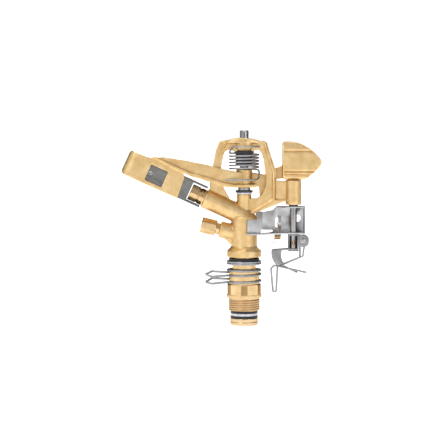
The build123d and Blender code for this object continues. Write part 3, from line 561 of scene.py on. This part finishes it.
def studio():
    """A white backdrop, dimmer surroundings for the metal to reflect, four soft lamps, floor, camera."""
    world = bpy.data.worlds.new("studio")
    bpy.context.scene.world = world
    world.use_nodes = True
    tree = world.node_tree
    tree.nodes.clear()
    new, link = tree.nodes.new, tree.links.new
    place, split, path = new("ShaderNodeTexCoord"), new("ShaderNodeSeparateXYZ"), new("ShaderNodeLightPath")
    link(place.outputs["Generated"], split.inputs["Vector"])
    # the surroundings darken to the right and towards the back, which models the metal's sides
    walls = ramp(tree, spread(tree, split.outputs["X"], -1.0, 1.0, 0.0, 1.0),
                 [(0.0, (0.62, 0.62, 0.62)), (0.12, (0.95, 0.95, 0.95)), (0.34, (0.62, 0.62, 0.62)),
                  (0.5, (0.42, 0.42, 0.42)), (0.68, (0.62, 0.61, 0.60)), (0.84, (0.36, 0.355, 0.35)),
                  (1.0, (0.24, 0.235, 0.23))])
    depth = ramp(tree, spread(tree, split.outputs["Y"], -1.0, 1.0, 0.0, 1.0),
                 [(0.0, (1.0, 1.0, 1.0)), (0.45, (0.85, 0.85, 0.85)), (0.7, (0.35, 0.34, 0.33)),
                  (1.0, (0.22, 0.21, 0.20))])
    around = new("ShaderNodeBackground")
    link(blend(tree, "MULTIPLY", 1.0, walls, depth), around.inputs["Color"])
    paper = new("ShaderNodeBackground")
    paper.inputs["Color"].default_value = (1.0, 1.0, 1.0, 1)
    paper.inputs["Strength"].default_value = 1.05
    pick, out = new("ShaderNodeMixShader"), new("ShaderNodeOutputWorld")
    link(path.outputs["Is Camera Ray"], pick.inputs["Fac"])
    link(around.outputs[0], pick.inputs[1])
    link(paper.outputs[0], pick.inputs[2])
    link(pick.outputs[0], out.inputs["Surface"])
    bpy.context.scene.view_settings.view_transform = "Standard"

    for name, spot, size, power in (("key", (-0.6, -0.85, 0.9), 0.55, 5.0),
                                    ("fill", (0.85, -0.9, 0.3), 0.5, 1.6),
                                    ("top", (0.0, 0.1, 1.2), 0.7, 4.5),
                                    ("back", (0.3, 1.0, 0.6), 0.7, 2.0)):
        lamp = bpy.data.lights.new(name, "AREA")
        lamp.shape, lamp.size, lamp.energy = "DISK", size, power
        light = placed(name, lamp)
        light.location = spot
        light.rotation_euler = (MIDDLE - Vector(spot)).to_track_quat("-Z", "Y").to_euler()

    finish, tree, shader, where = new_finish("pale_floor")
    tone = ramp(tree, speckle(tree, where, 8.0, 3.0), [(0.3, (0.93, 0.93, 0.93)), (0.7, (0.97, 0.97, 0.97))])
    tree.links.new(tone, shader.inputs["Base Color"])
    shader.inputs["Roughness"].default_value = 0.9
    shader.inputs["Specular IOR Level"].default_value = 0.0
    shader.inputs["Emission Color"].default_value = (1.0, 1.0, 1.0, 1)
    away = tree.nodes.new("ShaderNodeSeparateXYZ")
    tree.links.new(where, away.inputs["Vector"])
    tree.links.new(spread(tree, away.outputs["Y"], 0.2, 1.6, 0.58, 1.1), shader.inputs["Emission Strength"])
    half, low = FLOOR_HALF, TUBE_BOTTOM * MM - FLOOR_GAP
    mesh = bpy.data.meshes.new("floor")
    mesh.from_pydata([(-half, -half, low), (half, -half, low), (half, half, low), (-half, half, low)],
                     [], [(0, 1, 2, 3)])
    mesh.materials.append(finish)
    placed("floor", mesh)

    lens = bpy.data.cameras.new("view")
    lens.lens, lens.sensor_width = VIEW_LENS, 36.0
    camera = placed("view", lens)
    camera.location = VIEW_AIM + VIEW_DISTANCE * Vector((0, -cos(VIEW_RISE), sin(VIEW_RISE)))
    camera.rotation_euler = (VIEW_AIM - camera.location).to_track_quat("-Z", "Y").to_euler()
    bpy.context.scene.camera = camera


studio()


# ---------------------------------------------------------------- inlet nipple
FLANK_SLOPE, ROOT_SHARE, THREAD_ROWS = 3.64, 0.36, 150
RUN_OUT_FROM, RUN_OUT_OVER, LEAD_IN = 0.7, 1.6, 0.9


def thread_radius(angle, height):
    """The threaded length's radius, a right-hand V groove with flat crests and roots."""
    phase = (height / THREAD_PITCH - angle / (2 * pi)) % 1.0
    groove = min(max((0.5 - abs(phase - 0.5)) * FLANK_SLOPE - ROOT_SHARE, 0.0), 1.0)
    run_out = min(max((-height - RUN_OUT_FROM) / RUN_OUT_OVER, 0.0), 1.0)
    lead_in = THREAD_R - max(0.0, LEAD_IN - (height + THREAD_L))
    return min(THREAD_R - THREAD_DEPTH * (1 - groove) * run_out, lead_in)


def inlet_nipple():
    """Threaded inlet, shoulder, wrench hexagon, neck and sleeve, with the bore back down inside."""
    first_flat = 0.0
    angles = flat_angles(HEX_AF, HEX_BAR_R, first_flat)
    rows = [[(BEARING_R * cos(a), BEARING_R * sin(a), -THREAD_L) for a in angles]]
    for k in range(THREAD_ROWS + 1):
        height = -THREAD_L + (THREAD_L - 0.35) * k / THREAD_ROWS
        rows.append([(thread_radius(a, height) * cos(a), thread_radius(a, height) * sin(a), height)
                     for a in angles])
    shoulder = [(THREAD_R, -0.1, 0), (THREAD_R + 0.2, 0.0, 0), (SHOULDER_R - 0.25, 0.0, 0),
                (SHOULDER_R - 0.05, 0.08, 0), (SHOULDER_R, 0.3, 0), (SHOULDER_R, SHOULDER_H - 0.3, 0),
                (SHOULDER_R - 0.08, SHOULDER_H - 0.06, 0), (SHOULDER_R - 0.3, SHOULDER_H, 0),
                (HEX_BAR_R, SHOULDER_H + 0.02, 1), (HEX_BAR_R, 5.0, 1), (HEX_BAR_R, HEX_TOP - 0.35, 1),
                (HEX_BAR_R - 0.25, HEX_TOP - 0.1, 1), (HEX_BAR_R - 0.9, HEX_TOP, 1),
                (NECK_R + 0.35, HEX_TOP, 0), (NECK_R + 0.08, HEX_TOP + 0.08, 0), (NECK_R, HEX_TOP + 0.35, 0),
                (NECK_R, NECK_TOP - 0.6, 0), (NECK_R - 0.12, NECK_TOP - 0.15, 0), (NECK_R - 0.6, NECK_TOP, 0),
                (SLEEVE_R + 0.3, NECK_TOP, 0), (SLEEVE_R, NECK_TOP + 0.3, 0), (SLEEVE_R, SLEEVE_TOP - 0.3, 0),
                (SLEEVE_R - 0.3, SLEEVE_TOP, 0), (BEARING_R + 0.2, SLEEVE_TOP, 0),
                (BEARING_R, SLEEVE_TOP - 0.2, 0), (BEARING_R, 8.0, 0), (BEARING_R, -THREAD_L + 0.3, 0)]
    rows += milled_rows(shoulder, angles, HEX_AF, first_flat)
    fit(swept_rows("inlet_nipple", rows, Matrix(), INLET_SMOOTH), "bearing_nipple", TURNED)


inlet_nipple()

# ---------------------------------------------------------------- tube, seals and washers
tube = turned_piece("water_tube", [(TUBE_BORE_R, TUBE_BOTTOM), (COLLAR_R - 0.8, TUBE_BOTTOM),
                                   (COLLAR_R, TUBE_BOTTOM + 1.0), (COLLAR_R, COLLAR_TOP - 3.2),
                                   (COLLAR_R - 0.35, COLLAR_TOP - 2.9), (COLLAR_R, COLLAR_TOP - 2.6),
                                   (COLLAR_R, COLLAR_TOP), (TUBE_R, COLLAR_TOP), (TUBE_R, TUBE_TOP),
                                   (TUBE_BORE_R, TUBE_TOP)], 0.35)
fit(tube, "rotating_tube", TURNED)

SEAL_BORE, RING_BORE = TUBE_R + 0.05, TUBE_R + 0.1
# node, piece, inner radius, outer radius, bottom, top, finish, broken edge, place along X
RINGS = (("tube_seal_lower", "lower_tube_seal", SEAL_BORE, 11.5, -17.75, -15.55, RUBBER, 0.5, 0),
         ("tube_slip_washer", "tube_slip_ring", SEAL_BORE, 11.5, -15.5, -13.55, PALE_PLASTIC, 0.25, 0),
         ("tube_seal_upper", "upper_tube_seal", SEAL_BORE, 11.4, -13.5, -11.4, RUBBER, 0.5, 0),
         ("thrust_washer_lower", "lower_thrust_ring", RING_BORE, 14.5, 27.6, 28.9, WASHER_STEEL, 0.4, 0),
         ("thrust_washer_upper", "upper_thrust_ring", RING_BORE, 14.5, 29.0, 30.6, WASHER_STEEL, 0.4, 0),
         ("dust_seal", "dust_ring", RING_BORE, 12.8, 30.7, 32.8, RUBBER, 0.6, 0),
         ("arm_slip_washer", "arm_slip_ring", PIN_R + SNUG, 6.6, 86.6, 88.0, PALE_PLASTIC, 0.25, 0),
         ("arm_friction_washer", "arm_friction_ring", PIN_R + SNUG, 7.3, 88.1, 89.7, DARK_PLASTIC, 0.3, 0),
         ("arm_lift_collar", "arm_lift_ring", PIN_R + SNUG, 5.2, 89.8, 92.1, WASHER_STEEL, 0.25, 0),
         ("arm_bush_lower", "lower_arm_bush", PIN_R + FIT, BUSH_R, HUB_BOTTOM, HUB_BOTTOM + 6.5,
          DARK_PLASTIC, 0.25, 0),
         ("arm_bush_upper", "upper_arm_bush", PIN_R + FIT, BUSH_R, HUB_TOP - 6.5, HUB_TOP,
          DARK_PLASTIC, 0.25, 0),
         ("shaft_washer", "trip_shaft_ring", SHAFT_R + SNUG, 3.9, 76.4, 77.6, DARK_PLASTIC, 0.25, SHAFT_X),
         ("shaft_clip", "trip_shaft_clip", SHAFT_R + SNUG, 4.6, 38.7, 39.5, WASHER_STEEL, 0.2, SHAFT_X))
for node, name, inner, outer, bottom, top, finish, edge, centre in RINGS:
    outline = [(inner, bottom), (outer, bottom), (outer, top), (inner, top)]
    fit(turned_piece(name, outline, edge, upright(centre)), node, finish)

pin = turned_piece("fulcrum_rod", [(0, PIN_BOTTOM + 0.1), (PIN_R, PIN_BOTTOM + 0.1), (PIN_R, PIN_TOP - 0.5),
                                   (PIN_R - 0.5, PIN_TOP), (1.1, PIN_TOP), (0, PIN_TOP - 0.9)], 0.2)
fit(pin, "fulcrum_pin", BAR_STEEL)
sleeve = turned_piece("spring_core", [(PIN_R + SNUG, 110.2), (7.3, 110.2), (7.3, 121.0), (8.4, 121.0),
                                      (8.4, 122.3), (PIN_R + SNUG, 122.3)], 0.35)
fit(sleeve, "spring_sleeve", DARK_PLASTIC)
rod = turned_piece("trip_rod", [(0, SHAFT_BOTTOM), (SHAFT_R - 0.4, SHAFT_BOTTOM),
                                (SHAFT_R, SHAFT_BOTTOM + 0.4), (SHAFT_R, SHAFT_TOP), (0, SHAFT_TOP)],
                   0.15, upright(SHAFT_X))
fit(rod, "trip_shaft", BAR_STEEL)

# ---------------------------------------------------------------- stop collars
NECK_WIRE_R, NECK_CLEAR, RING_PITCH, RING_TURNS, KEEPER_Z = 0.95, 0.12, 2.3, 0.94, 22.7
TIP_X, TIP_Y, BOW_X, BOW_Y = -32.2, 1.7, -27.0, 4.4


def stop_ring(node, name, low, handle_heights):
    """A wire ring that grips the neck, its ends bowed apart as handles that meet at their tips."""
    mean_r = NECK_R + NECK_WIRE_R + NECK_CLEAR
    start = 180 + (1 - RING_TURNS % 1) * 180
    tip, below, above = handle_heights
    points = [(TIP_X, -TIP_Y, tip), (BOW_X, -BOW_Y, below)]
    points += turns(mean_r, RING_PITCH, low, RING_TURNS, start)
    points += [(BOW_X, BOW_Y, above), (TIP_X, TIP_Y, tip)]
    fit(laid_wire(name, points, NECK_WIRE_R, WIRE_STEEL, bend=TIGHT_BEND), node, WIRE_STEEL)


stop_ring("stop_collar_upper", "upper_stop_wire", 18.2, (18.9, 17.3, 21.1))
stop_ring("stop_collar_lower", "lower_stop_wire", 12.6, (12.4, 11.4, 15.1))
keeper = [(NECK_R + NECK_WIRE_R + SNUG + NECK_WIRE_R * cos(pi * k / 8),
           KEEPER_Z + NECK_WIRE_R * sin(pi * k / 8)) for k in range(16)]
fit(turned_piece("keeper_wire", keeper, 0.05), "keeper_ring", WIRE_STEEL)

# ---------------------------------------------------------------- castings
head = cast_skin("body_casting", "cast_head", 0.42, 4, 0.8)
fit(head, "body_casting", CAST)

LIP_FROM, LIP_CORNER, LIP_ROUNDNESS, LIP_LOW, LIP_HIGH = 105.3, 3.0, 0.8, -9.6, 11.4
REACH, REACH_BEFORE, REACH_OVER = 0.9, 5, 7
WEIGHT_FROM, WEIGHT_BOTTOM, WEIGHT_MID_Y, LINE_OVER = 33.0, 98.0, 1.5, 0.8
SAG, SAG_BELOW, SAG_OVER = 1.1, 103.0, 2.0
# height, half width and depth of each moulding line on the counterweight
WEIGHT_LINES = ((105.4, 0.8, 1.0), (102.6, 0.7, 0.8), (122.6, 0.9, 0.9))


def shape_weight(vertex, x, y, z):
    """Moulding lines across both faces of the counterweight, and its underside let down a little."""
    side = 1.0 if y > WEIGHT_MID_Y else -1.0
    depth = sum(deep * exp(-((z - level) / wide) ** 2) for level, wide, deep in WEIGHT_LINES)
    vertex.co.y -= side * depth * MM * min(1.0, (x - WEIGHT_FROM) / LINE_OVER)
    fade = min(max((SAG_BELOW - z) / SAG_OVER, 0.0), 1.0) * min(1.0, (x - WEIGHT_FROM) / SAG_OVER)
    vertex.co.z -= SAG * MM * fade


def round_lip(vertex, along, above):
    """Rounded corners at the spoon's lip."""
    middle, half = (LIP_LOW + LIP_HIGH) / 2, (LIP_HIGH - LIP_LOW) / 2
    past = min((along - LIP_FROM) / LIP_CORNER, 1.0)
    inset = LIP_CORNER * (1 - sqrt(1 - past * past)) * LIP_ROUNDNESS
    moved = middle + (above - middle) * (half - inset) / half
    vertex.co.x += (moved - above) * RISE_SIN * MM
    vertex.co.z += (moved - above) * RISE_COS * MM


def reach_lip(vertex, along):
    """Brings the lip's edge back out to its cast length."""
    out = REACH * min((along - LIP_FROM + REACH_BEFORE) / REACH_OVER, 1.0) * MM
    vertex.co.x -= out * RISE_COS
    vertex.co.z += out * RISE_SIN


arm = cast_skin("arm_casting", "cast_arm", 0.36, 3, 0.9)
for vertex in arm.data.vertices:
    x, y, z = (c / MM for c in vertex.co)
    if x > WEIGHT_FROM and z > WEIGHT_BOTTOM:
        shape_weight(vertex, x, y, z)
    along = -x * RISE_COS + (z - BARREL_ROOT) * RISE_SIN
    above = x * RISE_SIN + (z - BARREL_ROOT) * RISE_COS
    if along > LIP_FROM:
        round_lip(vertex, along, above)
    if along > LIP_FROM - REACH_BEFORE:
        reach_lip(vertex, along)
fit(arm, "arm_casting", CAST)


# ---------------------------------------------------------------- nozzles
JET_AF, JET_BAR_R, SIDE_AF, SIDE_BAR_R = 13.4, 7.7, 11.8, 6.5


def nozzles():
    """The jet nozzle in the barrel and the spreader nozzle in the side boss."""
    jet = facing(jet_point(0, 0), (-RISE_COS, 0, RISE_SIN))
    outline = [(4.6, 28.0, 0), (BARREL_BORE_R - 0.1, 28.0, 0), (BARREL_BORE_R - 0.02, 28.3, 0),
               (BARREL_BORE_R - 0.02, BARREL_L + 0.05, 0), (6.7, BARREL_L + 0.05, 0),
               (6.9, BARREL_L + 0.3, 0), (6.9, BARREL_L + 4.9, 0), (6.7, BARREL_L + 5.2, 0),
               (6.2, BARREL_L + 5.3, 0), (6.2, 42.4, 0), (7.0, 42.6, 1), (JET_BAR_R, 43.1, 1),
               (JET_BAR_R, 46.0, 1), (JET_BAR_R, 49.1, 1), (7.0, 49.6, 1), (3.3, 49.6, 0),
               (2.5, 49.2, 0), (2.4, 48.6, 0), (2.6, 47.0, 0), (3.6, 38.0, 0)]
    fit(hex_turned("jet_nozzle", outline, JET_AF, JET_BAR_R, 30.0, jet), "main_nozzle", TURNED_JET)
    side_dir = (-cos(radians(SPREADER_RISE)), 0, sin(radians(SPREADER_RISE)))
    side = facing((0, 0, SPREADER_ROOT), side_dir)
    base = SPREADER_L
    outline = [(1.5, base - 7, 0), (3.4, base - 7, 0), (3.58, base - 6.7, 0), (3.58, base + 0.05, 0),
               (4.5, base + 0.05, 0), (4.7, base + 0.25, 0), (4.7, base + 3.1, 0), (5.6, base + 3.2, 1),
               (SIDE_BAR_R, base + 3.8, 1), (SIDE_BAR_R, base + 9.0, 1), (SIDE_BAR_R, base + 15.2, 1),
               (5.7, base + 16.0, 1), (2.0, base + 16.0, 0), (1.5, base + 15.6, 0)]
    fit(hex_turned("side_nozzle", outline, SIDE_AF, SIDE_BAR_R, 0.0, side), "spreader_nozzle", TURNED_SIDE)


nozzles()


def vanes():
    """Three crossed vanes with softened edges, inside the barrel."""
    piece = merged_copy("stream_straightener", "barrel_vanes")
    edge = piece.modifiers.new("edge", "BEVEL")
    edge.width, edge.segments, edge.limit_method = 0.12 * MM, 2, "ANGLE"
    solid = hardened(piece, "barrel_vanes")
    shade(solid.data, SHEET_SMOOTH)
    fit(solid, "stream_straightener", DARK_PLASTIC)


vanes()

# ---------------------------------------------------------------- springs
SPRING_R, SPRING_WIRE_R = 12.3, 0.68
COIL_BOTTOM, COIL_PITCH, COIL_TURNS = 106.5, 2.6, 5.5
COIL_TOP = COIL_BOTTOM + COIL_PITCH * COIL_TURNS
LOOP_R, HIGH_LOOP_Z, LOW_LOOP_Z = 13.2, 126.4, 98.8


def ring_place(radius, angle, height):
    """A point round the head's axis, from an angle in degrees."""
    return (radius * cos(radians(angle)), radius * sin(radians(angle)), height)


low_hook = [(-15.0, -8.6, LOW_LOOP_Z - 0.2)]
low_hook += [ring_place(LOOP_R, a, LOW_LOOP_Z) for a in (224, 240, 264, 288, 312)]
low_hook += [ring_place(LOOP_R, 333, LOW_LOOP_Z + 0.4), ring_place(LOOP_R, 345, COIL_BOTTOM - 3.5)]
high_hook = [ring_place(LOOP_R, 203, COIL_TOP + 1.8), ring_place(LOOP_R, 222, HIGH_LOOP_Z - 0.2)]
high_hook += [ring_place(LOOP_R, a, HIGH_LOOP_Z) for a in (246, 270, 294, 318, 334, 346)]
arm_coil = turns(SPRING_R, COIL_PITCH, COIL_BOTTOM, COIL_TURNS)
arm_spring = laid_wire("arm_return_spring", low_hook + arm_coil + high_hook, SPRING_WIRE_R, WIRE_STEEL)
stand_in(arm_spring, "arm_spring", WIRE_STEEL)
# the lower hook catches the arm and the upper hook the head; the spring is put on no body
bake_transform(arm_spring)
fit(laid_wire("bell_spring", turns(10.4, 2.0, 34.2, 2.2), 0.85, WIRE_STEEL), "bearing_spring", WIRE_STEEL)


def over_centre_wire():
    """A short coil across the bracket, one leg hanging and one hooked up to the strap."""
    coil = [(25.4 + z, -y, 50.4 - x) for x, y, z in turns(1.75, 0.95, 0.0, 5.5)]
    points = [(24.6, 0.0, 45.2), (25.2, 0.0, 47.6)] + coil
    points += [(29.2, 2.4, 53.6), (28.4, 2.5, 58.0), (28.0, 2.6, 62.0), (27.4, 5.2, 62.6)]
    fit(laid_wire("over_centre_wire", points, 0.4, BRASS_WIRE, sides=10), "over_centre_spring", BRASS_WIRE)


over_centre_wire()

finger_points = [(41.05, -4.6, 41.7), (42.3, -4.6, 43.6)]
finger_points += turns(1.05, 0.9, 44.0, 4, 0.0, (41.3, -4.6))
finger_points += [(42.3, -4.6, 48.0), (41.05, -4.6, 49.9)]
fit(laid_wire("finger_wire_spring", finger_points, 0.3, BRASS_WIRE, sides=10), "finger_spring", BRASS_WIRE)

# ---------------------------------------------------------------- trip finger, one bent wire
FRONT_Y, BACK_Y, HANDLE_Y, WRAP_R = -3.7, -1.15, -5.9, 2.35
back_run = [(44.6, BACK_Y, 20.6), (31.0, BACK_Y, 26.9), (46.7, BACK_Y, 33.4), (46.9, BACK_Y, 37.4)]
wrap = []
for k in range(19):
    turn = pi - 3 * pi * k / 18
    wrap.append((RIVET_X + WRAP_R * cos(turn), BACK_Y + (FRONT_Y - BACK_Y) * k / 18,
                 RIVET_Z + WRAP_R * sin(turn)))
front_run = [(49.8, FRONT_Y, 39.2), (49.3, FRONT_Y, 34.6), (28.0, FRONT_Y, 25.6), (26.9, FRONT_Y, 4.7),
             (24.2, FRONT_Y, 4.7), (22.5, FRONT_Y, 24.2), (25.4, HANDLE_Y, 27.0), (52.2, HANDLE_Y, 21.0)]
fit(laid_wire("trip_finger_wire", back_run + wrap + front_run, 0.8, WIRE_STEEL, bend=TIGHT_BEND),
    "trip_finger", WIRE_STEEL)

# ---------------------------------------------------------------- pressed steel and rivets
for node, name, finish in (("jet_channel", "spoon_channel", SHADED_CHANNEL_SHEET),
                           ("trip_bracket", "trip_plate", LIT_STAINLESS_SHEET),
                           ("trip_lever", "trip_yoke", SHEET_STEEL)):
    fit(pressed_sheet(node, name), node, finish)

rivet_at = jet_point(86.4, 0.8)
hollow = turned_piece("channel_eyelet", [(0, 5.7), (2.2, 5.7), (2.2, 6.6), (1.5, 6.6), (1.5, 7.97),
                                         (2.0, 7.97), (2.0, 8.5), (1.05, 8.5), (1.05, 6.3), (0, 6.3)],
                      0.15, facing((rivet_at.x, 0, rivet_at.z), (0, -1, 0)), 48)
fit(hollow, "channel_rivet", BAR_STEEL)
pivot = turned_piece("finger_pivot", [(0, -0.7), (2.9, -0.7), (2.9, 0), (1.5, 0), (1.5, 5.85), (2.3, 5.85),
                                      (2.3, 6.3), (1.4, 6.6), (0, 6.6)],
                     0.25, facing((RIVET_X, 0, RIVET_Z), (0, -1, 0)), 48)
fit(pivot, "finger_rivet", BAR_STEEL)
